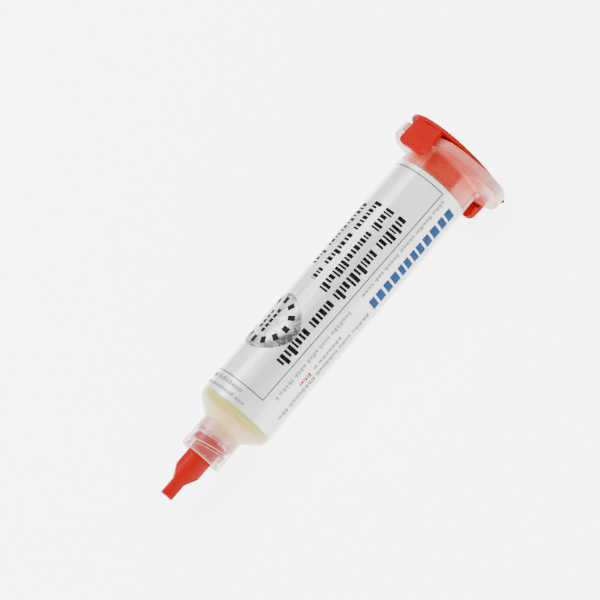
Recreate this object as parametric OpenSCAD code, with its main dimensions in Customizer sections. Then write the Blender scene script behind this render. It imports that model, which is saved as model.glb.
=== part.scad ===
// Ten cubic centimetre flux syringe: a moulded barrel with a luer-lock outlet, closed by a
// tip cap and a clip-on end cap, lying as it comes to rest on its shoulder and its end cap.
// The pieces are drawn along +Z, with z = 0 at the outlet collar's mouth and the flange on top,
// its ears along X and its flats across Y. The module laid() then puts them down.

/* [Barrel] */
// Length of the barrel, from the collar's mouth to the top of the flange
barrel_len = 88; // [80:0.5:96]
// Outside diameter of the tube
tube_od = 18.6; // [18.2:0.1:19.6]
// Inside diameter of the tube
bore_d = 15.9; // [15:0.1:16.2]
// Slope of the shoulder below the tube, from the level
shoulder_slope = 38; // [32:1:44]
// Radius that rounds the tube into the shoulder
shoulder_round = 2.6; // [1.5:0.1:3.2]

/* [Flange] */
// Thickness of the flange
flange_t = 2.5; // [2:0.1:3.2]
// Distance from the axis to the end of an ear
ear_reach = 16.8; // [16:0.1:18]
// Distance from the axis to a flat
flat_half = 11; // [10.6:0.1:11.6]
// Radius of the two long sides of the oval
side_r = 17.9; // [17:0.1:20]
// Distance from the axis to a long side, had the flats not cut it
side_bulge = 12.8; // [12:0.1:13.4]
// Chamfer between the tube and the underside of the flange
neck_chamfer = 0.5; // [0.2:0.1:1]

/* [Luer lock outlet] */
// Outside diameter of the collar
collar_od = 10.3; // [10:0.1:11]
// Length of the collar, up to the shoulder
collar_len = 7.9; // [7.4:0.1:9]
// Diameter of the collar's bore between the threads
thread_root_d = 8.9; // [8.7:0.05:9.1]
// Diameter over the crests of the collar's inner thread
thread_crest_d = 8.1; // [8:0.05:8.3]
// Distance from one ridge to the next; there are two starts
thread_pitch = 2.5; // [2.2:0.1:2.8]
// Turns of each ridge
thread_turns = 1.15; // [0.8:0.05:1.25]
// Diameter of the nozzle at its tip
nozzle_tip_d = 3.93; // [3.8:0.01:4.05]
// Taper of the nozzle, as growth of its diameter over its length
luer_taper = 0.06; // [0.05:0.005:0.07]
// How far the nozzle stands out of the collar
nozzle_stand_out = 2.1; // [1.5:0.1:2.6]
// Diameter of the channel through the nozzle
channel_d = 2.2; // [1.4:0.1:2.6]

/* [Label and seal] */
// Height of the label along the tube
label_h = 67.3; // [55:0.1:68]
// Bare tube between the label and the underside of the flange
label_drop = 5.4; // [4:0.1:8]
// Thickness of the label
label_t = 0.1; // [0.08:0.01:0.2]
// Width of the bare strip where the label's two ends don't quite meet
label_gap = 4; // [2:0.5:10]
// Direction of the middle of that strip, round the axis
label_gap_turn = 276; // [260:1:300]
// Diameter of the round seal on the label
seal_d = 14.8; // [10:0.1:16]
// Thickness of the seal
seal_t = 0.06; // [0.05:0.01:0.1]
// Height of the seal's middle above the collar's mouth
seal_z = 32.9; // [28:0.1:60]
// Direction of the seal's middle, round the axis
seal_turn = 79; // [60:1:200]

/* [Piston and flux] */
// Height of the piston's lower lip above the collar's mouth
piston_z = 60; // [40:1:62]
// Length of the piston's side, without its nose
piston_len = 8.5; // [7:0.5:10]
// Running clearance of the piston's lips in the bore
piston_fit = 0.03; // [0.02:0.01:0.06]
// Depth of the waist between the two lips
waist_depth = 0.45; // [0.3:0.05:0.8]
// Height of each lip
lip_h = 1.6; // [1:0.1:2.5]
// Wall of the piston
piston_wall = 1.2; // [1:0.1:1.8]

/* [Tip cap] */
// Outside diameter of the cap's stem
stem_d = 6.2; // [6:0.1:6.6]
// Distance from the collar's mouth up to the rim of the cap inside the collar
stem_up = 4.6; // [4:0.1:5]
// Distance from the collar's mouth down to where the stem starts to flatten
stem_down = 4.1; // [3.6:0.1:6]
// Length of the slope between the stem and the grip
grip_slope_len = 3.1; // [2.5:0.1:5]
// Length of the flat grip
grip_len = 4.1; // [3:0.1:8]
// Thickness of the flat grip
grip_t = 2.9; // [2.4:0.1:3.4]
// Direction of the grip's wide side, round the axis
grip_turn = 139; // [120:1:180]
// Distance from the axis to the end of a lug
lug_reach = 4; // [3.8:0.01:4]
// Height of a lug
lug_h = 1.6; // [1.2:0.1:2]
// Width of a lug across its end
lug_w = 3.6; // [2.8:0.1:4.2]
// Direction of the two lugs, round the axis
lug_turn = 40; // [0:1:90]
// Clearance of the cap's taper on the nozzle
luer_fit = 0.02; // [0.01:0.01:0.05]

/* [End cap] */
// Diameter of the disc
disc_d = 27.2; // [26.6:0.1:28.4]
// Thickness of the disc
disc_t = 0.9; // [0.8:0.1:1.6]
// Rounding of the disc's rim
disc_round = 0.3; // [0.1:0.05:0.35]
// How far the cap has rocked on its clips, as it sits in the flange
cap_rock = 4; // [0:0.5:4]
// Distance from the axis to the end of the lifting tab on the disc's rim
lift_reach = 14.9; // [14.2:0.1:15.5]
// Width of the lifting tab
lift_w = 5; // [3:0.5:7]
// Direction of the lifting tab, round the axis
lift_turn = 240; // [215:1:245]
// Width of a clip
clip_w = 8.8; // [7:0.1:10]
// Length of a clip below the disc
clip_len = 7; // [6:0.1:8]
// Wall of a clip
clip_wall = 1.05; // [0.9:0.05:1.3]
// Depth of the hook at the end of a clip
hook_depth = 0.75; // [0.5:0.05:0.9]
// Clearance between a hook and the flat that it passes, with the clips spread
hook_fit = 0.05; // [0.03:0.01:0.1]
// Height of a hook's blunt end, above its sloping lead-in
hook_land = 0.9; // [0.5:0.1:1.2]
// Radius of a clip's lower corners
clip_corner = 1.6; // [0.8:0.1:2]
// Clearance of the centring ring's four pads in the bore, which lets the cap rock
pad_fit = 0.7; // [0.5:0.05:1.2]
// Depth of the centring ring
ring_h = 6.4; // [3:0.1:7]
// Wall of the ring at a pad
pad_wall = 1.1; // [0.8:0.1:1.4]
// Wall of the ring between two pads
web_wall = 0.5; // [0.4:0.1:0.7]
// Width of the grooves between the pads
pad_gap = 4.2; // [2:0.1:6]

/* [Hidden] */
$fn = 96;
// Small overlap of shapes that join within one piece
join = 0.2;
// Thin layer of glue or air between a piece and what it lies on
skin_gap = 0.02;
// Steps in a full turn of the thread, and in a quarter turn of a drawn arc
thread_steps = 36;
arc_steps = 8;

tube_r = tube_od / 2;
bore_r = bore_d / 2;
collar_r = collar_od / 2;
flange_z = barrel_len - flange_t;

// The shoulder's straight slope would meet the tube's side here, and rounding moves that up
slope_top_z = collar_len + (tube_r - collar_r) * tan(shoulder_slope);
round_reach = shoulder_round * tan((90 - shoulder_slope) / 2);
tube_foot_z = slope_top_z + round_reach;
// Inside, the cone under the bore runs along the outer slope
shoulder_wall = 1.5;
bore_foot_z = slope_top_z + shoulder_wall / cos(shoulder_slope) - (tube_r - bore_r) * tan(shoulder_slope);
channel_r = channel_d / 2;
cone_foot_z = bore_foot_z - (bore_r - channel_r) * tan(shoulder_slope);

thread_root_r = thread_root_d / 2;
thread_crest_r = thread_crest_d / 2;
pocket_floor_z = collar_len - 0.7;
mouth_chamfer = 0.2;
bore_lead_in = 0.35;
// Half widths of a ridge at its foot and at its crest
ridge_foot = 0.5;
ridge_crest = 0.28;
ridge_lift = 0.8;

function nozzle_r(z) = nozzle_tip_d / 2 + (z + nozzle_stand_out) * luer_taper / 2;

label_r = tube_r + skin_gap + label_t;
label_z = flange_z - label_drop - label_h;
label_gap_angle = label_gap / label_r * 180 / PI;
seal_r = label_r + skin_gap + seal_t;

piston_r = bore_r - piston_fit;
flux_r = bore_r - skin_gap;
nose_tip_r = 1.2;
nose_h = (piston_r - nose_tip_r) * tan(shoulder_slope);
nose_floor = 1.4;

grip_z = -stem_down - grip_slope_len;
cap_end_z = grip_z - grip_len;
// The cap's inside ends a little past the nozzle
cap_hollow_z = -nozzle_stand_out - 0.8;
cap_rim_round = 0.15;

disc_r = disc_d / 2;
// One edge of the rocked disc touches the flange and lifts the middle
disc_z = barrel_len + disc_r * sin(cap_rock) + hook_fit;
hook_y = flat_half + hook_fit;
clip_in_y = hook_y + hook_depth;
clip_out_y = clip_in_y + clip_wall;
// A hook starts below the flange, low enough for its rocked corners
hook_z = flange_z - disc_z - clip_w / 2 * sin(cap_rock) - 0.1;

// The syringe lies on the shoulder's edge and on the disc or a clip, whichever stands out more
rest_pitch = max(
    atan((disc_r - tube_r) / (disc_z + disc_round - tube_foot_z)),
    atan((clip_out_y - tube_r) / (disc_z - clip_len - tube_foot_z)));
// It has rolled until the rounded lower corner of a clip, rocked with the cap, touches too
corner_cut = clip_corner * (1 - cos(45));
corner_side = clip_w / 2 - corner_cut;
corner_down = clip_len - corner_cut;
corner_x = corner_side * cos(cap_rock) + corner_down * sin(cap_rock);
corner_z = disc_z + corner_side * sin(cap_rock) - corner_down * cos(cap_rock);
corner_floor = tube_r + (corner_z - tube_foot_z) * tan(rest_pitch);
rest_roll = 90 - atan(corner_x / clip_out_y)
    + acos(min(1, corner_floor / norm([corner_x, clip_out_y])));
// Middle of the whole length, which stands over the origin
rest_mid_z = (cap_end_z + disc_z + disc_t + disc_r * sin(norm([rest_pitch, cap_rock]))) / 2;

// Puts the syringe down: head towards +X, a clip underneath, tip end lower
module laid() {
    lift = tube_r * cos(rest_pitch) - (tube_foot_z - rest_mid_z) * sin(rest_pitch);
    translate([0, 0, lift])
        rotate([0, -rest_pitch, 0])
            rotate([0, 90, 0])
                rotate([0, 0, rest_roll])
                    translate([0, 0, -rest_mid_z])
                        children();
}

// Points of an arc in a profile
function arc(c, r, a0, a1) =
    [for (i = [0:arc_steps]) let (a = a0 + (a1 - a0) * i / arc_steps) c + r * [cos(a), sin(a)]];

// Ring between two radii
module ring(r_out, r_in, h) {
    difference() {
        cylinder(r = r_out, h = h);
        translate([0, 0, -join]) cylinder(r = r_in, h = h + 2 * join);
    }
}

// Barrel

module barrel_profile() {
    polygon(concat(
        [[collar_r - mouth_chamfer, 0], [collar_r, mouth_chamfer], [collar_r, collar_len]],
        arc([tube_r - shoulder_round, tube_foot_z], shoulder_round, shoulder_slope - 90, 0),
        [
            [tube_r, flange_z - neck_chamfer],
            [tube_r + neck_chamfer, flange_z],
            [tube_r + neck_chamfer, flange_z + neck_chamfer],
            [tube_r, flange_z + neck_chamfer],
            [tube_r, barrel_len],
            [bore_r + bore_lead_in, barrel_len],
            [bore_r, barrel_len - bore_lead_in],
            [bore_r, bore_foot_z],
            [channel_r, cone_foot_z],
            [channel_r, -nozzle_stand_out],
            [nozzle_r(-nozzle_stand_out), -nozzle_stand_out],
            [nozzle_r(pocket_floor_z), pocket_floor_z],
            [thread_root_r, pocket_floor_z],
            [thread_root_r, mouth_chamfer],
            [thread_root_r + mouth_chamfer, 0]
        ]));
}

// Oval with two flats, seen along the barrel
module flange_outline() {
    intersection() {
        circle(r = ear_reach);
        square([2 * ear_reach + join, 2 * flat_half], center = true);
        translate([0, side_bulge - side_r]) circle(r = side_r);
        translate([0, side_r - side_bulge]) circle(r = side_r);
    }
}

module flange() {
    translate([0, 0, flange_z])
        difference() {
            linear_extrude(flange_t) flange_outline();
            translate([0, 0, -join]) cylinder(r = tube_r - join, h = flange_t + 2 * join);
        }
}

// One right-handed ridge, swept along its helix inside the collar
module thread_ridge(start_turn) {
    section = [
        [thread_root_r + join, -ridge_foot], [thread_crest_r, -ridge_crest],
        [thread_crest_r, ridge_crest], [thread_root_r + join, ridge_foot]
    ];
    steps = round(thread_turns * thread_steps);
    sides = len(section);
    points = [
        for (i = [0:steps], p = section)
            let (a = start_turn + 360 * i / thread_steps)
                [p[0] * cos(a), p[0] * sin(a), ridge_lift + 2 * thread_pitch * i / thread_steps + p[1]]
    ];
    walls = [
        for (i = [0:steps - 1], k = [0:sides - 1])
            let (a = i * sides + k, b = i * sides + (k + 1) % sides)
                each [[a, b, b + sides], [a, b + sides, a + sides]]
    ];
    ends = [
        [for (k = [sides - 1:-1:0]) k],
        [for (k = [0:sides - 1]) steps * sides + k]
    ];
    polyhedron(points, concat(walls, ends));
}

module barrel() {
    color("whitesmoke")
        laid() {
            rotate_extrude() barrel_profile();
            flange();
            for (turn = [0, 180]) thread_ridge(turn);
        }
}

// Label and seal

module label() {
    color("gainsboro")
        laid()
            translate([0, 0, label_z])
                rotate([0, 0, label_gap_turn + label_gap_angle / 2])
                    rotate_extrude(angle = 360 - label_gap_angle)
                        translate([tube_r + skin_gap, 0])
                            square([label_t, label_h]);
}

// The part of a thin shell round the label that lies in a round outline
module seal_sticker() {
    color("silver")
        laid()
            translate([0, 0, seal_z])
                rotate([0, 0, seal_turn])
                    intersection() {
                        translate([0, 0, -seal_d / 2])
                            ring(seal_r, seal_r - seal_t, seal_d);
                        rotate([0, 90, 0]) cylinder(d = seal_d, h = seal_r + join);
                    }
}

// Flux and piston

module flux() {
    foot = skin_gap;
    color("khaki")
        laid()
            rotate_extrude()
                polygon([
                    [0, -nozzle_stand_out],
                    [channel_r - foot, -nozzle_stand_out],
                    [channel_r - foot, cone_foot_z + foot],
                    [flux_r, bore_foot_z + foot],
                    [flux_r, piston_z - foot],
                    [nose_tip_r, piston_z - nose_h - foot],
                    [0, piston_z - nose_h - foot]
                ]);
}

module piston_profile() {
    hollow_r = piston_r - waist_depth - piston_wall;
    top = piston_z + piston_len;
    polygon([
        [0, piston_z - nose_h],
        [nose_tip_r, piston_z - nose_h],
        [piston_r, piston_z],
        [piston_r, piston_z + lip_h],
        [piston_r - waist_depth, piston_z + lip_h + waist_depth],
        [piston_r - waist_depth, top - lip_h - waist_depth],
        [piston_r, top - lip_h],
        [piston_r, top],
        [hollow_r, top],
        [hollow_r, piston_z + nose_floor],
        [nose_tip_r, piston_z - nose_h + 2 * nose_floor],
        [0, piston_z - nose_h + 2 * nose_floor]
    ]);
}

module piston() {
    color("white") laid() rotate_extrude() piston_profile();
}

// Tip cap

module stem_profile() {
    rim_in = nozzle_r(stem_up) + luer_fit;
    end_in = nozzle_r(cap_hollow_z) + luer_fit;
    stem_r = stem_d / 2;
    polygon([
        [0, cap_end_z],
        [stem_r, cap_end_z],
        [stem_r, stem_up - cap_rim_round],
        [stem_r - cap_rim_round, stem_up],
        [rim_in, stem_up],
        [end_in, cap_hollow_z],
        [0, cap_hollow_z]
    ]);
}

// Outline of the stem and the grip, seen along the grip's wide side
module grip_outline() {
    half = grip_t / 2;
    stem_half = stem_d / 2 + join;
    polygon([
        [-half, cap_end_z - join], [half, cap_end_z - join], [half, grip_z],
        [stem_half, grip_z + grip_slope_len * (stem_half - half) / (stem_d / 2 - half)],
        [stem_half, stem_up + join], [-stem_half, stem_up + join],
        [-stem_half, grip_z + grip_slope_len * (stem_half - half) / (stem_d / 2 - half)],
        [-half, grip_z]
    ]);
}

module lugs() {
    translate([0, 0, stem_up - lug_h - cap_rim_round])
        intersection() {
            ring(lug_reach, stem_d / 2 - join, lug_h);
            rotate([0, 0, lug_turn])
                translate([-lug_reach - join, -lug_w / 2, -join])
                    cube([2 * (lug_reach + join), lug_w, lug_h + 2 * join]);
        }
}

module tip_cap() {
    color("orangered")
        laid() {
            intersection() {
                rotate_extrude() stem_profile();
                rotate([0, 0, grip_turn + 90])
                    rotate([90, 0, 0])
                        translate([0, 0, -stem_d])
                            linear_extrude(2 * stem_d) grip_outline();
            }
            lugs();
        }
}

// End cap

// Flat disc with a rounded rim
module rounded_disc(r) {
    low = arc([r - disc_round, disc_round], disc_round, -90, 0);
    high = arc([r - disc_round, disc_t - disc_round], disc_round, 0, 90);
    rotate_extrude() polygon(concat([[0, 0]], low, high, [[0, disc_t]]));
}

// Strip of a larger disc, to lift the cap off by
module lift_tab() {
    intersection() {
        rounded_disc(lift_reach);
        rotate([0, 0, lift_turn])
            translate([0, -lift_w / 2, -join])
                cube([lift_reach + join, lift_w, disc_t + 2 * join]);
    }
}

// Side view of a clip: its wall, and a hook with a flat top and a sloping lead-in
module clip_side() {
    polygon([
        [clip_in_y, disc_t / 2], [clip_out_y, disc_t / 2], [clip_out_y, -clip_len],
        [clip_in_y, -clip_len], [hook_y, hook_z - hook_land], [hook_y, hook_z],
        [clip_in_y, hook_z]
    ]);
}

// Front view of a clip, rounded at its two lower corners
module clip_front() {
    for (side = [-1, 1])
        translate([side * (clip_w / 2 - clip_corner), clip_corner - clip_len])
            circle(r = clip_corner);
    translate([-clip_w / 2, clip_corner - clip_len]) square([clip_w, clip_len + disc_t]);
    translate([clip_corner - clip_w / 2, -clip_len]) square([clip_w - 2 * clip_corner, clip_len]);
}

module clip() {
    intersection() {
        rotate([90, 0, 90])
            translate([0, 0, -clip_w / 2])
                linear_extrude(clip_w) clip_side();
        translate([0, clip_out_y + join, 0])
            rotate([90, 0, 0])
                linear_extrude(clip_out_y - hook_y + 2 * join) clip_front();
    }
}

// Two crossing grooves that leave the ring a thinner wall between its pads
module ring_grooves(pad_r) {
    difference() {
        for (turn = [0, 90])
            rotate([0, 0, turn])
                translate([-pad_r - join, -pad_gap / 2, -join])
                    cube([2 * (pad_r + join), pad_gap, ring_h + join]);
        translate([0, 0, -2 * join])
            cylinder(h = ring_h + 3 * join, r = pad_r - pad_wall + web_wall);
    }
}

// Short ring under the disc that centres the cap by four pads
module centring_ring() {
    pad_r = bore_r - pad_fit;
    translate([0, 0, -ring_h])
        difference() {
            ring(pad_r, pad_r - pad_wall, ring_h + disc_t / 2);
            ring_grooves(pad_r);
        }
}

module end_cap() {
    color("orangered")
        laid()
            translate([0, 0, disc_z])
                rotate([0, -cap_rock, 0]) {
                    rounded_disc(disc_r);
                    lift_tab();
                    for (turn = [0, 180]) rotate([0, 0, turn]) clip();
                    centring_ring();
                }
}

barrel();
label();
seal_sticker();
flux();
piston();
tip_cap();
end_cap();
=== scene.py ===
"""Dresses the flux syringe: camera, studio, the mouldings' finishes, the gel and the print on the label."""
import math
import random

import bmesh
import bpy
from mathutils import Matrix, Vector


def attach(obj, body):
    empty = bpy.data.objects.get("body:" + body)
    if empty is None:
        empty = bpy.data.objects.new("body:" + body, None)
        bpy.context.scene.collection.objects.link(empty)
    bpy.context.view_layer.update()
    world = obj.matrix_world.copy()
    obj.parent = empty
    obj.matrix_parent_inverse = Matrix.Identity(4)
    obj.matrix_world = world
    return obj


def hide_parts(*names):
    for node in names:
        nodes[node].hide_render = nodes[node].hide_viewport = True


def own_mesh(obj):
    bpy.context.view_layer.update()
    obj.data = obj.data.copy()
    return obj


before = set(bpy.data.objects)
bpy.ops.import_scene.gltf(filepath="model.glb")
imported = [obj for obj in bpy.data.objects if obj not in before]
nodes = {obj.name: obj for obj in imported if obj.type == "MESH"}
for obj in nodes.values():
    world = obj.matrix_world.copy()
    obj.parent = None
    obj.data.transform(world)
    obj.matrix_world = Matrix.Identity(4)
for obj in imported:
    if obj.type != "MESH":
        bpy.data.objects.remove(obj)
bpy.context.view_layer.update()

MM = 0.001

# The syringe is described along +Z in millimetres, with z = 0 at the collar's mouth, as it was moulded.
# These four numbers lay it down in the row frame.
REST_ROLL = 84.0568
REST_PITCH = 3.20095
REST_MID_Z = 39.90656
REST_LIFT = 10.82082

laid = (
    Matrix.Translation((0, 0, REST_LIFT))
    @ Matrix.Rotation(math.radians(-REST_PITCH), 4, "Y")
    @ Matrix.Rotation(math.radians(90), 4, "Y")
    @ Matrix.Rotation(math.radians(REST_ROLL), 4, "Z")
    @ Matrix.Translation((0, 0, -REST_MID_Z))
)
to_row = Matrix.Scale(MM, 4) @ laid
to_own = to_row.inverted()


def row_point(x, y, z):
    """A point of the syringe in millimetres, as it lies in the row frame in metres."""
    return to_row @ Vector((x, y, z))


def round_point(radius, turn, z):
    """A point at that radius, direction in degrees and height on the syringe, in the row frame."""
    a = math.radians(turn)
    return row_point(radius * math.cos(a), radius * math.sin(a), z)


# Camera

CAMERA_TURN = 137      # direction it looks from, round the syringe's axis
CAMERA_TIP = 8.4       # how far it stands towards the tip, in degrees
CAMERA_AWAY = 500
CAMERA_ROLL = 40.7
SENSOR = 36
PICTURE = 600          # pixels along a side of the square picture
FOCUS = 2236           # focal length in those pixels
AIM_Z = 41.2           # height on the syringe of the point it looks at
AIM_SIDE = -5.79       # how far that point lies beside the axis


def make_camera():
    turn, tip, roll = (math.radians(a) for a in (CAMERA_TURN, CAMERA_TIP, CAMERA_ROLL))
    outward = Vector((math.cos(turn), math.sin(turn), 0))
    side = Vector((-math.sin(turn), math.cos(turn), 0))
    along = Vector((0, 0, 1))
    away = outward * CAMERA_AWAY * math.cos(tip)
    place = side * AIM_SIDE + away + along * (AIM_Z - CAMERA_AWAY * math.sin(tip))
    up = along * math.cos(tip) + outward * math.sin(tip)
    right = side * math.cos(roll) + up * math.sin(roll)
    above = up * math.cos(roll) - side * math.sin(roll)
    back = right.cross(above)
    turned = laid.to_3x3()
    axes = Matrix([turned @ v for v in (right, above, back)]).transposed()
    camera = bpy.data.objects.new("camera", bpy.data.cameras.new("camera"))
    camera.data.sensor_width = SENSOR
    camera.data.lens = FOCUS / PICTURE * SENSOR
    camera.data.clip_start, camera.data.clip_end = 0.01, 20
    camera.matrix_world = Matrix.Translation(to_row @ place) @ axes.to_4x4()
    bpy.context.scene.collection.objects.link(camera)
    bpy.context.scene.camera = camera


make_camera()


# Materials

def linear(code):
    """An sRGB hex colour as linear red, green, blue and alpha."""
    parts = [int(code[i:i + 2], 16) / 255 for i in (1, 3, 5)]
    return (*(p / 12.92 if p <= 0.04045 else ((p + 0.055) / 1.055) ** 2.4 for p in parts), 1)


def plug(node, sockets):
    """Sets sockets. Each takes a number, a hex colour, an output, or a node for its first output in use."""
    for name, value in sockets.items():
        if isinstance(value, bpy.types.Node):
            value = next(output for output in value.outputs if output.enabled)
        if isinstance(value, bpy.types.NodeSocket):
            node.id_data.links.new(value, node.inputs[name])
        else:
            node.inputs[name].default_value = linear(value) if isinstance(value, str) else value


def add(tree, kind, sockets, **settings):
    """Adds a shader node with its settings and links."""
    node = tree.nodes.new(kind)
    for name, value in settings.items():
        setattr(node, name, value)
    plug(node, sockets)
    return node


def new_material(name, **sockets):
    """A principled material with those values, and the syringe's own coordinates in millimetres."""
    material = bpy.data.materials.new(name)
    material.use_nodes = True
    tree = material.node_tree
    tree.nodes.clear()
    shader = add(tree, "ShaderNodeBsdfPrincipled", {k.replace("_", " "): v for k, v in sockets.items()})
    add(tree, "ShaderNodeOutputMaterial", {"Surface": shader})
    spot, turn, size = to_own.decompose()
    own = add(tree, "ShaderNodeMapping", {
        "Vector": add(tree, "ShaderNodeTexCoord", {}).outputs["Object"],
        "Location": spot, "Rotation": turn.to_euler(), "Scale": size})
    return material, tree, shader, own


def rounded_normal(tree, radius, height, strength, distance):
    """Softens the drawn edges by a moulding's small radius, in metres, and adds a bump over it."""
    edge = add(tree, "ShaderNodeBevel", {"Radius": radius}, samples=6)
    return add(tree, "ShaderNodeBump", {
        "Height": height, "Normal": edge, "Strength": strength, "Distance": distance})


# Heights between which each zone of the barrel's wall comes in, from none to full
WALL_ZONES = {
    "mouth": (0.4, 0.15, "LINEAR"),
    "above_thread": (4.4, 6.2, "SMOOTHSTEP"),
    "below_cone": (11, 7, "LINEAR"),
    "cone": (6.3, 9, "SMOOTHSTEP"),
    "below_label": (20, 13.5, "LINEAR"),
    "tube_foot": (10.4, 11.6, "SMOOTHSTEP"),
    "head": (78, 81, "LINEAR"),
    "above_label": (80, 81, "SMOOTHSTEP"),
    "below_flange": (86.3, 84.8, "SMOOTHSTEP"),
    "flange": (85.6, 86.4, "LINEAR"),
}
# Zones by their middle and half width: two by height, and two by radius inside the collar
COLLAR_Z = (3.2, 2.4)
THREAD_Z = (2.7, 2.8)
INNER_FACE_R = (4.1, 0.5)
BETWEEN_CRESTS_R = (4.25, 0.16)
# Zones where two others overlap
SHARED_ZONES = {
    "neck": ("below_flange", "above_label"),
    "pad": ("facing_pad", "neck"),
    "flank": ("thread", "between_crests"),
    "inside": ("collar", "inner_face"),
    "root": ("above_thread", "below_cone"),
    "wet": ("cone", "below_label"),
}
PAD_COUNT = 4
PAD_EDGE = (0.5, 0.15)     # cosine of the direction times the count of pads, beside a pad and on it
EAR_END = (12.5, 18)       # distance to the side at which the blush starts to fade, and has gone
SLANT_POWER = 1.9          # how closely the milk of a slanting wall keeps to the outline
# What each zone adds to the wall's opacity
WALL_MILK = {
    "slanting": 0.9, "head": 0.22, "neck": 0.34, "pad": -0.33, "lining": 0.22, "flange": 0.18,
    "root": 0.42, "wet": 0.5, "flank": 0.8, "mouth": 0.45,
}
# The milk's colour, warmed to peach by painted glow from the red caps.
WALL_COLOUR = "#FBC4AA"
# Layers over that colour, from the first to the last: a zone, another that crosses it, the colour where the
# first is alone, and the colour where both are
PAINTED_WALL_GLOW = (
    # Painted red glow from the end cap, fading out towards the ears' ends and strongest over its pads in the
    # neck.
    ("head", "ear_end", "#FF8F80", "#F0DFD0"),
    ("neck", "facing_pad", "#FF745A", "#F04527"),
    # Painted red glow from the tip cap's stem on the collar's inner face; its outer face is paler.
    ("collar", "lining", "#EFAAA2", "#C00824"),
    # Painted colour of the gel seen through the wall: beige on the thicker cone, yellow at the foot of the
    # tube.
    ("wet", "tube_foot", "#FAD68E", "#E6DC68"),
)


def wall_zones(tree, own):
    """Factors from 0 to 1 for the zones of the barrel's wall, from the syringe's own coordinates."""
    apart = add(tree, "ShaderNodeSeparateXYZ", {"Vector": own})
    x, y, height = (apart.outputs[axis] for axis in "XYZ")
    zones = {name: add(tree, "ShaderNodeMapRange", {"Value": height, "From Min": none, "From Max": full},
                       interpolation_type=way)
             for name, (none, full, way) in WALL_ZONES.items()}
    sideways = add(tree, "ShaderNodeVectorMath", {0: own, 1: (1, 1, 0)}, operation="MULTIPLY")
    radius = add(tree, "ShaderNodeVectorMath", {0: sideways}, operation="LENGTH")
    for name, value, (middle, half) in (("collar", height, COLLAR_Z), ("thread", height, THREAD_Z),
                                        ("inner_face", radius, INNER_FACE_R),
                                        ("between_crests", radius, BETWEEN_CRESTS_R)):
        zones[name] = add(tree, "ShaderNodeMath", {0: value, 1: middle, 2: half}, operation="COMPARE")
    turn = add(tree, "ShaderNodeMath", {0: y, 1: x}, operation="ARCTAN2")
    turns = add(tree, "ShaderNodeMath", {0: turn, 1: PAD_COUNT}, operation="MULTIPLY")
    wave = add(tree, "ShaderNodeMath", {0: turns}, operation="COSINE")
    reach = add(tree, "ShaderNodeMath", {0: x}, operation="ABSOLUTE")
    for name, value, (none, full) in (("facing_pad", wave, PAD_EDGE), ("ear_end", reach, EAR_END)):
        zones[name] = add(tree, "ShaderNodeMapRange", {"Value": value, "From Min": none, "From Max": full},
                          interpolation_type="SMOOTHSTEP")
    for name, (one, other) in SHARED_ZONES.items():
        zones[name] = add(tree, "ShaderNodeMath", {0: zones[one], 1: zones[other]}, operation="MULTIPLY")
    zones["lining"] = add(tree, "ShaderNodeMath", {0: zones["inside"], 1: zones["flank"]},
                          operation="SUBTRACT", use_clamp=True)
    # A wall that is seen along its length looks milkier.
    slant = add(tree, "ShaderNodeLayerWeight", {"Blend": 0.5})
    zones["slanting"] = add(tree, "ShaderNodeMath", {0: slant.outputs["Facing"], 1: SLANT_POWER},
                            operation="POWER")
    return zones


def polypropylene():
    # Natural polypropylene, injection moulded: milky and see-through, with the red caps' glow painted into it
    # as a blush.
    material, tree, shader, own = new_material(
        "natural_polypropylene", IOR=1.49, Specular_IOR_Level=0.6,
        Subsurface_Weight=0.5, Subsurface_Radius=(1, 0.6, 0.5), Subsurface_Scale=0.002)
    # Flow of the melt along the tube, 6 mm long and 2 mm wide, shows as slightly cloudier streaks.
    stretched = add(tree, "ShaderNodeMapping", {"Vector": own, "Scale": (0.5, 0.5, 0.16)})
    cloud = add(tree, "ShaderNodeTexNoise", {"Vector": stretched, "Scale": 1, "Detail": 3})
    spread = {"Value": cloud, "From Min": 0.3, "From Max": 0.7}
    rough, milk = (add(tree, "ShaderNodeMapRange", {**spread, "To Min": least, "To Max": most})
                   for least, most in ((0.2, 0.34), (0.07, 0.12)))
    zones = wall_zones(tree, own)
    for name, more in WALL_MILK.items():
        milk = add(tree, "ShaderNodeMath", {0: zones[name], 1: more, 2: milk}, operation="MULTIPLY_ADD")
    tint_and_painted_light = WALL_COLOUR
    # Painted glow from the red caps, and painted colour of the gel seen through, layered over the milk's
    # colour.
    for zone, part, alone, both in PAINTED_WALL_GLOW:
        colour = add(tree, "ShaderNodeMix", {"Factor": zones[part], "A": alone, "B": both}, data_type="RGBA")
        tint_and_painted_light = add(tree, "ShaderNodeMix", {"Factor": zones[zone], "A": tint_and_painted_light, "B": colour}, data_type="RGBA")
    # Painted highlight on the thread's flanks, where they catch the light.
    tint_and_painted_light = add(tree, "ShaderNodeMix", {"Factor": zones["flank"], "A": tint_and_painted_light, "B": "#FFF6F2"}, data_type="RGBA")
    # The mould's fine spark grain is 0.05 mm, drawn at 0.3 mm so that it shows.
    grain = add(tree, "ShaderNodeTexNoise", {"Vector": own, "Scale": 3.3, "Detail": 2})
    plug(shader, {"Base Color": tint_and_painted_light, "Roughness": rough, "Alpha": milk,
                  "Normal": rounded_normal(tree, 0.00025, grain, 0.05, 0.0001)})
    return material


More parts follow.
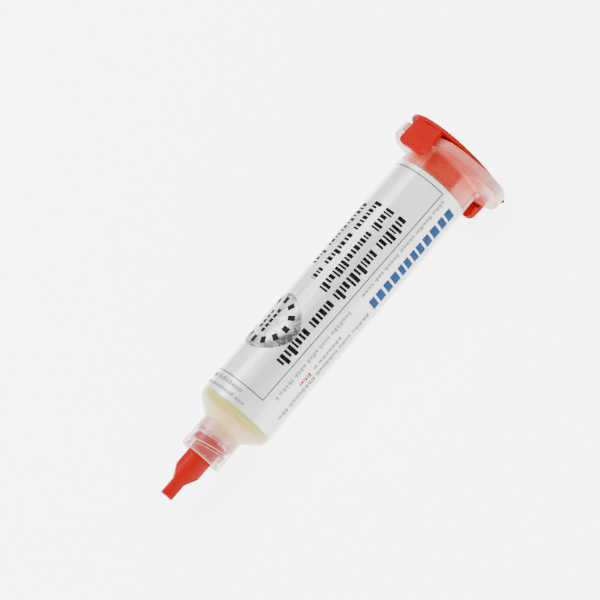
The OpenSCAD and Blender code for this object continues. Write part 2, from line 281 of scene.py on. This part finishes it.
def label_film():
    # Silvered polyester film with a clear face, printed and stuck on: light grey and satin.
    material, tree, shader, own = new_material(
        "label_film", IOR=1.5, Specular_IOR_Level=0.3, Metallic=0.15, Coat_Weight=1, Coat_Roughness=0.12)
    # Lighter and darker streaks run along it, 3 mm wide and 50 mm long.
    stretched = add(tree, "ShaderNodeMapping", {
        "Vector": own, "Location": (14.2, 0, 0), "Scale": (0.3, 0.3, 0.02)})
    streak = add(tree, "ShaderNodeTexNoise", {"Vector": stretched, "Scale": 1, "Detail": 2})
    band = add(tree, "ShaderNodeMapRange", {"Value": streak, "From Min": 0.4, "From Max": 0.6},
               interpolation_type="SMOOTHSTEP")
    tone = add(tree, "ShaderNodeMix", {"Factor": band, "A": "#D6D2CE", "B": "#F6F6F3"}, data_type="RGBA")
    rough = add(tree, "ShaderNodeMapRange", {"Value": streak, "To Min": 0.42, "To Max": 0.26})
    # The film follows the tube with dents 3 mm across and a few hundredths deep.
    dent = add(tree, "ShaderNodeTexNoise", {"Vector": own, "Scale": 0.3, "Detail": 1})
    bump = add(tree, "ShaderNodeBump", {"Height": dent, "Strength": 0.25, "Distance": 0.0002})
    plug(shader, {"Base Color": tone, "Roughness": rough, "Normal": bump})
    return material


SEAL_R = 9.5
SEAL_Z, SEAL_TURN = 32.9, 79
SEAL_RING_STEP = 0.9
SEAL_RAYS = 48


def seal_foil():
    # Embossed aluminium foil sticker: grey, soft metal gloss, with rings and rays pressed into it.
    material, tree, shader, own = new_material("seal_foil", Metallic=0.6, Roughness=0.36)
    # Places on the seal laid flat, from its middle
    apart = add(tree, "ShaderNodeSeparateXYZ", {"Vector": own})
    turn = add(tree, "ShaderNodeMath", {0: apart.outputs["Y"], 1: apart.outputs["X"]}, operation="ARCTAN2")
    across = add(tree, "ShaderNodeMath", {0: turn, 1: SEAL_R, 2: -SEAL_R * math.radians(SEAL_TURN)},
                 operation="MULTIPLY_ADD")
    up = add(tree, "ShaderNodeMath", {0: apart.outputs["Z"], 1: SEAL_Z}, operation="SUBTRACT")
    flat = add(tree, "ShaderNodeCombineXYZ", {"X": across, "Y": up})
    out = add(tree, "ShaderNodeVectorMath", {0: flat}, operation="LENGTH")
    way = add(tree, "ShaderNodeMath", {0: up, 1: across}, operation="ARCTAN2")
    ray_turn = add(tree, "ShaderNodeMath", {0: way, 1: SEAL_RAYS}, operation="MULTIPLY")
    ring_turn = add(tree, "ShaderNodeMath", {0: out, 1: 2 * math.pi / SEAL_RING_STEP}, operation="MULTIPLY")
    rays = add(tree, "ShaderNodeMath", {0: ray_turn}, operation="SINE")
    rings = add(tree, "ShaderNodeMath", {0: ring_turn}, operation="SINE")
    wave = add(tree, "ShaderNodeMath", {0: rays, 1: rings}, operation="MULTIPLY")
    # Creases of the foil are about 2 mm across. Painted dark reflections lie on the rim in patches of 6 mm,
    # and the creases and the pressed rings and rays are painted lighter and darker as well as bumped.
    crease = add(tree, "ShaderNodeTexNoise", {"Vector": own, "Scale": 0.55, "Detail": 2.5, "Distortion": 1})
    uneven = add(tree, "ShaderNodeTexNoise", {"Vector": own, "Scale": 0.16, "Detail": 1})
    rim = add(tree, "ShaderNodeMapRange", {"Value": out, "From Min": 4.6, "From Max": 7.4, "To Max": 0.9},
              interpolation_type="SMOOTHSTEP")
    painted_dark_rim = add(tree, "ShaderNodeMath", {0: rim, 1: uneven}, operation="MULTIPLY")
    pressed = add(tree, "ShaderNodeMath", {0: wave, 1: 0.07, 2: crease}, operation="MULTIPLY_ADD")
    shade = add(tree, "ShaderNodeMath", {0: painted_dark_rim, 1: -0.62, 2: pressed}, operation="MULTIPLY_ADD")
    light = add(tree, "ShaderNodeMapRange", {"Value": shade, "From Min": 0.1, "From Max": 0.62})
    tone = add(tree, "ShaderNodeMix", {"Factor": light, "A": "#484848", "B": "#DEDEDC"}, data_type="RGBA")
    relief = add(tree, "ShaderNodeMath", {0: wave, 1: 0.15, 2: crease}, operation="MULTIPLY_ADD")
    bump = add(tree, "ShaderNodeBump", {"Height": relief, "Strength": 0.5, "Distance": 0.0002})
    plug(shader, {"Base Color": tone, "Normal": bump})
    return material


def red_polyethylene():
    # Red low density polyethylene, moulded: saturated, a little light goes into it, waxy half gloss.
    material, tree, shader, own = new_material(
        "red_polyethylene", Roughness=0.38, IOR=1.51, Specular_IOR_Level=0,
        Coat_Weight=0.15, Coat_Roughness=0.35,
        Subsurface_Weight=0.5, Subsurface_Radius=(1, 0.05, 0.02), Subsurface_Scale=0.0015)
    # The pigment is uneven over 2 mm, and the mould's fine grain is drawn at 0.6 mm, so that it shows.
    cloud = add(tree, "ShaderNodeTexNoise", {"Vector": own, "Scale": 0.45, "Detail": 2})
    tone = add(tree, "ShaderNodeMix", {"Factor": cloud, "A": "#A60200", "B": "#B30500"}, data_type="RGBA")
    grain = add(tree, "ShaderNodeTexNoise", {"Vector": own, "Scale": 1.6, "Detail": 3})
    plug(shader, {"Base Color": tone, "Normal": rounded_normal(tree, 0.0001, grain, 0.08, 0.0002)})
    return material


def white_polyethylene():
    # White polyethylene of the wiper piston: dense white, satin.
    material, tree, shader, own = new_material(
        "white_polyethylene", Base_Color="#F1F0EC", Roughness=0.4, IOR=1.51,
        Subsurface_Weight=0.3, Subsurface_Radius=(1, 1, 1), Subsurface_Scale=0.001)
    # The mould's fine grain is drawn at 0.6 mm, so that it shows.
    grain = add(tree, "ShaderNodeTexNoise", {"Vector": own, "Scale": 1.6, "Detail": 3})
    plug(shader, {"Normal": rounded_normal(tree, 0.00015, grain, 0.08, 0.0002)})
    return material


def flux_gel():
    # Rosin flux gel: pale yellow, cloudy and wet, with streaks from the filling nozzle.
    material, tree, shader, own = new_material(
        "flux_gel", Roughness=0.25, IOR=1.47,
        Subsurface_Weight=0.6, Subsurface_Radius=(1, 0.8, 0.25), Subsurface_Scale=0.0015)
    # Its clouds are 3 mm across.
    cloud = add(tree, "ShaderNodeTexNoise", {"Vector": own, "Scale": 0.35, "Detail": 4})
    tone = add(tree, "ShaderNodeMix", {"Factor": cloud, "A": "#D6C428", "B": "#E6DA55"}, data_type="RGBA")
    plug(shader, {"Base Color": tone})
    return material


FILM_SHOWING = 0.03     # share of the film's grey where the ink is thinnest


def ink(name, code):
    # Screen printing ink on film: flat, a little duller than the film, with a slightly uneven cover.
    material, tree, shader, own = new_material(name, Roughness=0.6, Specular_IOR_Level=0.04)
    # The cover changes over half a millimetre.
    cover = add(tree, "ShaderNodeTexNoise", {"Vector": own, "Scale": 2, "Detail": 2})
    thinness = add(tree, "ShaderNodeMapRange", {"Value": cover, "From Min": 0.45, "From Max": 0.75})
    full = linear(code)
    thin = tuple((1 - FILM_SHOWING) * c + FILM_SHOWING * f for c, f in zip(full, linear("#DAD9D6")))
    tone = add(tree, "ShaderNodeMix", {"Factor": thinness, "A": full, "B": thin}, data_type="RGBA")
    plug(shader, {"Base Color": tone})
    return material


def finish_node(name, material):
    """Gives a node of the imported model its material."""
    mesh = nodes[name].data
    mesh.materials.clear()
    mesh.materials.append(material)


finish_node("barrel", polypropylene())
red_finish = red_polyethylene()
gel_finish = flux_gel()
finish_node("label", label_film())
finish_node("seal_sticker", seal_foil())
finish_node("piston", white_polyethylene())
finish_node("tip_cap", red_finish)
finish_node("end_cap", red_finish)


# Pieces

def piece(name, material, build):
    """A new mesh piece on the syringe's body. build adds its faces, in the row frame."""
    mesh = bpy.data.meshes.new(name)
    shape = bmesh.new()
    build(shape)
    bmesh.ops.remove_doubles(shape, verts=shape.verts, dist=1e-7)
    bmesh.ops.recalc_face_normals(shape, faces=shape.faces)
    shape.to_mesh(mesh)
    shape.free()
    mesh.materials.append(material)
    made = bpy.data.objects.new(name, mesh)
    bpy.context.scene.collection.objects.link(made)
    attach(made, "syringe")
    return made


def revolve(profile, steps=96):
    """Adds a closed profile of (radius, z) points, turned about the axis."""
    def build(shape):
        rings = [[shape.verts.new(round_point(r, 360 * i / steps, z)) for r, z in profile]
                 for i in range(steps)]
        for i in range(steps):
            near, far = rings[i], rings[(i + 1) % steps]
            for k in range(len(profile)):
                m = (k + 1) % len(profile)
                corners = [near[k], near[m], far[m], far[k]]
                if profile[k][0] == 0:
                    corners = corners[:3]
                elif profile[m][0] == 0:
                    corners = [near[k], near[m], far[k]]
                shape.faces.new(corners)
    return build


def smooth(made, degrees=30):
    for face in made.data.polygons:
        face.use_smooth = True
    made.data.set_sharp_from_angle(angle=math.radians(degrees))


# Gel

SKIN_GAP = 0.02
BORE_R = 7.95
BORE_FOOT_Z = 11.991
CONE_TAN = math.tan(math.radians(38))
CONE_FOOT_Z = 6.639
CHANNEL_R = 1.1
NOZZLE_END_Z = -2.1
PISTON_Z = 60
GEL_IN_R = 7.5
GEL_FILM = 0.5
FILM_EDGE = 0.9        # share of the film's depth that it has at its upper edge


def make_gel():
    """A skin round the bore, which the piston presses flat, and a film on the cone with the channel's gel."""
    wall_r = BORE_R - SKIN_GAP
    foot_z = BORE_FOOT_Z + SKIN_GAP
    foot_in = CONE_FOOT_Z + (GEL_IN_R - CHANNEL_R) * CONE_TAN
    top_in = PISTON_Z - (wall_r - GEL_IN_R) * CONE_TAN - SKIN_GAP
    column = piece("flux_column", gel_finish, revolve([
        (wall_r, foot_z), (wall_r, PISTON_Z - SKIN_GAP), (GEL_IN_R, top_in), (GEL_IN_R, foot_in)]))
    smooth(column)
    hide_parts("flux")
    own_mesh(column)
    channel_r = CHANNEL_R - SKIN_GAP
    film_top = CONE_FOOT_Z + GEL_FILM
    rest = piece("flux_rest", gel_finish, revolve([
        (0, NOZZLE_END_Z), (channel_r, NOZZLE_END_Z), (channel_r, CONE_FOOT_Z + SKIN_GAP), (wall_r, foot_z),
        (wall_r - GEL_FILM / CONE_TAN * FILM_EDGE, foot_z), (CHANNEL_R, film_top), (0, film_top)]))
    smooth(rest)


make_gel()


# Print on the label: a frame line, blocks and rows of bars, each a thin patch on the film

LABEL_R = 9.42
INK_R = LABEL_R + 0.015
SEAL_INK_R = SEAL_R + 0.015
PATCH_STEP = 3         # degrees or millimetres that one face of a patch spans at most
FRAME_LINE = 0.26
FRAME_Z = (17.6, 78.95)
FRAME_START = 25
FRAME_TURN = 153.1
FRAME_SKEW = 0.055     # degrees round the tube for each millimetre, as the label is stuck on askew

# Rows along the barrel: lowest and highest height, directions of their feet and tops, a letter's width, seed
BLACK_ROWS = ((24.6, 68.7, 129.5, 146.5, 2.3, 1), (44.5, 68.5, 108, 122, 2.1, 2),
              (45.8, 68.5, 86, 99.5, 2.1, 3), (48, 67, 62, 75, 2.1, 9))
GREY_ROWS = ((49.5, 77.8, 161, 166.8, 1.05, 4), (19.8, 45.2, 162.3, 168.5, 0.95, 5),
             (30.2, 39.8, 177.3, 184.5, 1.1, 6), (17.2, 48, 188.5, 196.5, 1.1, 7))
RED_ROW = (25.4, 29.3, 177.3, 184.5, 1.3, 8)
# Rows round the barrel: heights of their feet and tops, directions of start and end, a letter's width, seed
GREY_ROUND_ROWS = ((15.75, 16.9, 30, 123, 1.05, 10), (13.9, 14.8, 30, 136, 1, 11))
WORD_LETTERS = (3, 8)      # least and most letters in a word
TALL_SHARE = 0.4           # share of letters that are tall
LOW_ALONG = 0.72           # height of the others, as a share of the tall ones', in rows along the barrel
LOW_ROUND = 0.75           # the same in rows round it
# Shares of a letter's width
LETTER_SPREAD = (0.85, 1.15)
WIDE_BAR = 0.42
NARROW_BAR = (0.55, 0.82)
WORD_GAP = 0.45
LAST_ROOM = 0.6            # least room that a row's last letter is given

BLUE_TURNS = (176.5, 196)
# Pairs of blue blocks: where each starts, and how long it is
BLUE_PAIRS = ((49.7, 4.3), (54.6, 4.4), (59.6, 3.6), (63.8, 3.8), (68.2, 4.6), (73.4, 4.3))
BLUE_SPLIT = (0.42, 0.54)  # end of the first block and start of the second, as shares of that length

# Blocks inside the seal's rim: inner and outer radius, half their width there in degrees, and their step
SEAL_BLOCK_R = (4.7, 6.4)
SEAL_BLOCK_HALF = (8, 6)
SEAL_BLOCK_STEP = 30
# Rows of blocks across the seal: distance from its middle, half the length, and number of blocks
SEAL_ROWS = ((0.6, 3.4, 5), (-1.4, 2.6, 4))
SEAL_ROW_HALF = 0.55
SEAL_ROW_GAP = 0.3


def patch(shape, corners, radius):
    """Adds a four-sided field of ink that follows the tube. Its corners are (height, direction) pairs."""
    (za, ta), (zb, tb), (zc, tc), (zd, td) = corners
    across = max(1, math.ceil(max(abs(td - ta), abs(tc - tb)) / PATCH_STEP))
    along = max(1, math.ceil(max(abs(tb - ta), abs(tc - td)) / PATCH_STEP))
    rows = []
    for i in range(across + 1):
        k = i / across
        start = (za + (zd - za) * k, ta + (td - ta) * k)
        end = (zb + (zc - zb) * k, tb + (tc - tb) * k)
        rows.append([shape.verts.new(round_point(radius, start[1] + (end[1] - start[1]) * j / along,
                                                 start[0] + (end[0] - start[0]) * j / along))
                     for j in range(along + 1)])
    for a, b in zip(rows, rows[1:]):
        for j in range(along):
            shape.faces.new([a[j], a[j + 1], b[j + 1], b[j]])


def field(shape, z0, z1, turn0, turn1, radius=INK_R):
    patch(shape, [(z0, turn0), (z1, turn0), (z1, turn1), (z0, turn1)], radius)


def word_bars(length, letter, seed):
    """(start, end, tall) of the bars that fill a length in words: a wide and a narrow one for each letter."""
    dice = random.Random(seed)
    bars, at, left = [], 0, dice.randint(*WORD_LETTERS)
    while at < length - letter * LAST_ROOM:
        wide = letter * dice.uniform(*LETTER_SPREAD)
        tall = dice.random() < TALL_SHARE
        bars.append((at, at + wide * WIDE_BAR, tall))
        start, end = (at + wide * share for share in NARROW_BAR)
        bars.append((start, min(end, length), tall and dice.random() < TALL_SHARE))
        at += wide
        left -= 1
        if left == 0:
            at += letter * WORD_GAP
            left = dice.randint(*WORD_LETTERS)
    return bars


def row_along(shape, z0, z1, turn0, turn1, letter, seed):
    """Words along the barrel, read from the flange down, their feet at turn0."""
    for a, b, tall in word_bars(z1 - z0, letter, seed):
        field(shape, z1 - b, z1 - a, turn0, turn1 if tall else turn0 + (turn1 - turn0) * LOW_ALONG)


def row_round(shape, z0, z1, turn0, turn1, letter, seed):
    """Words round the barrel, their feet at z0."""
    arc = math.radians(turn1 - turn0) * INK_R
    for a, b, tall in word_bars(arc, letter, seed):
        field(shape, z0, z1 if tall else z0 + (z1 - z0) * LOW_ROUND,
              turn0 + math.degrees(a / INK_R), turn0 + math.degrees(b / INK_R))


def black_print(shape):
    """Two sides and an end of the label's frame line, and the large rows inside it."""
    low, high = FRAME_Z
    half = math.degrees(FRAME_LINE / LABEL_R) / 2
    lean = FRAME_SKEW * (high - low) / 2
    field(shape, low, low + FRAME_LINE, FRAME_START, FRAME_TURN - lean)
    field(shape, high - FRAME_LINE, high, FRAME_START, FRAME_TURN + lean)
    patch(shape, [(low, FRAME_TURN - lean - half), (high, FRAME_TURN + lean - half),
                  (high, FRAME_TURN + lean + half), (low, FRAME_TURN - lean + half)], INK_R)
    for row in BLACK_ROWS:
        row_along(shape, *row)


def blue_print(shape):
    for start, wide in BLUE_PAIRS:
        end, again = (start + wide * share for share in BLUE_SPLIT)
        field(shape, start, end, *BLUE_TURNS)
        field(shape, again, start + wide, *BLUE_TURNS)


def grey_print(shape):
    for row in GREY_ROWS:
        row_along(shape, *row)
    for row in GREY_ROUND_ROWS:
        row_round(shape, *row)


def red_print(shape):
    row_along(shape, *RED_ROW)


def seal_print(shape):
    """Twelve blocks inside the seal's rim, and two short rows across it."""
    def spot(out, turn):
        a = math.radians(turn)
        return SEAL_Z + out * math.cos(a), SEAL_TURN + math.degrees(out * math.sin(a) / SEAL_R)
    (inner, outer), (foot, top) = SEAL_BLOCK_R, SEAL_BLOCK_HALF
    for turn in range(0, 360, SEAL_BLOCK_STEP):
        patch(shape, [spot(inner, turn - foot), spot(outer, turn - top),
                      spot(outer, turn + top), spot(inner, turn + foot)], SEAL_INK_R)
    for middle, half, count in SEAL_ROWS:
        turn0, turn1 = (SEAL_TURN + math.degrees(w / SEAL_R)
                        for w in (middle - SEAL_ROW_HALF, middle + SEAL_ROW_HALF))
        for i in range(count):
            a = -half + 2 * half * i / count
            b = a + 2 * half / count - SEAL_ROW_GAP
            field(shape, SEAL_Z + a, SEAL_Z + b, turn0, turn1, SEAL_INK_R)


piece("print_black", ink("black_ink", "#060607"), black_print)
piece("print_blue", ink("blue_ink", "#19467A"), blue_print)
piece("print_grey", ink("grey_ink", "#7E7D7E"), grey_print)
piece("print_red", ink("red_ink", "#B01525"), red_print)
piece("print_seal", ink("dark_grey_ink", "#161617"), seal_print)


# Studio

FLOOR_HALF = 4
LAMP_AWAY = 800
# Softboxes: direction round the syringe in degrees, height along it, size in metres and power in watts
SOFTBOXES = {"key": (69, 60, 0.4, 5.5), "fill": (168, -260, 0.45, 5.5)}


def studio():
    mesh = bpy.data.meshes.new("floor")
    half = FLOOR_HALF
    corners = [(-half, -half, 0), (half, -half, 0), (half, half, 0), (-half, half, 0)]
    mesh.from_pydata(corners, [], [(0, 1, 2, 3)])
    floor = bpy.data.objects.new("floor", mesh)
    bpy.context.scene.collection.objects.link(floor)
    # Matt white paper on a light table: its glow fades the shadows on it, and is kept off the object.
    mesh.materials.append(new_material(
        "matt_paper", Base_Color="#F4F4F4", Roughness=0.9, Specular_IOR_Level=0.1,
        Emission_Color="#FFFFFF", Emission_Strength=5)[0])
    floor.visible_diffuse = False
    floor.visible_shadow = False
    world = bpy.data.worlds.new("studio")
    bpy.context.scene.world = world
    world.use_nodes = True
    plug(world.node_tree.nodes["Background"], {"Color": "#FFFFFF", "Strength": 1.25})
    for name, (turn, z, size, power) in SOFTBOXES.items():
        lamp = bpy.data.lights.new(name, "AREA")
        lamp.size, lamp.energy = size, power
        lit = bpy.data.objects.new(name, lamp)
        lit.location = round_point(LAMP_AWAY, turn, z)
        lit.rotation_euler = lit.location.to_track_quat("Z", "Y").to_euler()
        bpy.context.scene.collection.objects.link(lit)


studio()
